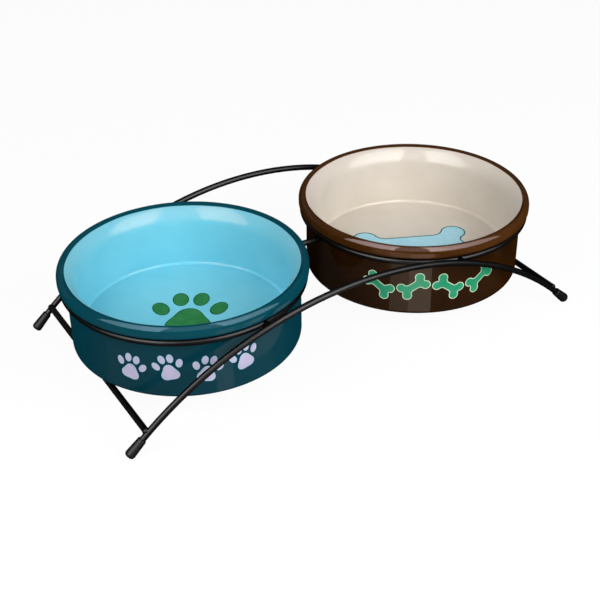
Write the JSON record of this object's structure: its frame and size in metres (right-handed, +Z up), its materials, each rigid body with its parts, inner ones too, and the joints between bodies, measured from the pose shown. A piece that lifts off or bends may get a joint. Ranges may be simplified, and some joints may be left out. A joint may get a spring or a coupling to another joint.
{
  "type": "double pet bowl",
  "caption": "Pair of round thick-rimmed ceramic feeding bowls that lift out of a low arched wire stand with rings, cross bars and capped feet.",
  "frame": {"origin": "on the floor, midway between the four feet", "axes": "+X along the stand from the left bowl to the right bowl, +Y to the back, +Z up"},
  "size_m": [0.3166, 0.157, 0.0701],
  "materials": {
    "teal_glaze": "glossy dark teal glaze outside, light blue inside",
    "brown_glaze": "glossy dark brown glaze outside, cream inside",
    "wire": "satin black paint on round steel wire",
    "foot_cap": "matt black push-on cap"
  },
  "bodies": {
    "stand": {"left_ring": "wire", "right_ring": "wire", "front_arch": "wire", "back_arch": "wire", "left_crossbar": "wire", "right_crossbar": "wire", "ring_link": "wire", "front_left_spacer": "wire", "front_right_spacer": "wire", "back_left_spacer": "wire", "back_right_spacer": "wire", "front_left_foot_cap": "foot_cap", "front_right_foot_cap": "foot_cap", "back_left_foot_cap": "foot_cap", "back_right_foot_cap": "foot_cap"},
    "left_bowl": {"left_bowl": "teal_glaze"},
    "right_bowl": {"right_bowl": "brown_glaze"}
  },
  "joints": [
    {"name": "left_bowl_lift", "type": "slide", "parent": "stand", "child": "left_bowl", "axis": [0, 0, 1], "range_m": [0, 0.06]},
    {"name": "right_bowl_lift", "type": "slide", "parent": "stand", "child": "right_bowl", "axis": [0, 0, 1], "range_m": [0, 0.06]}
  ]
}
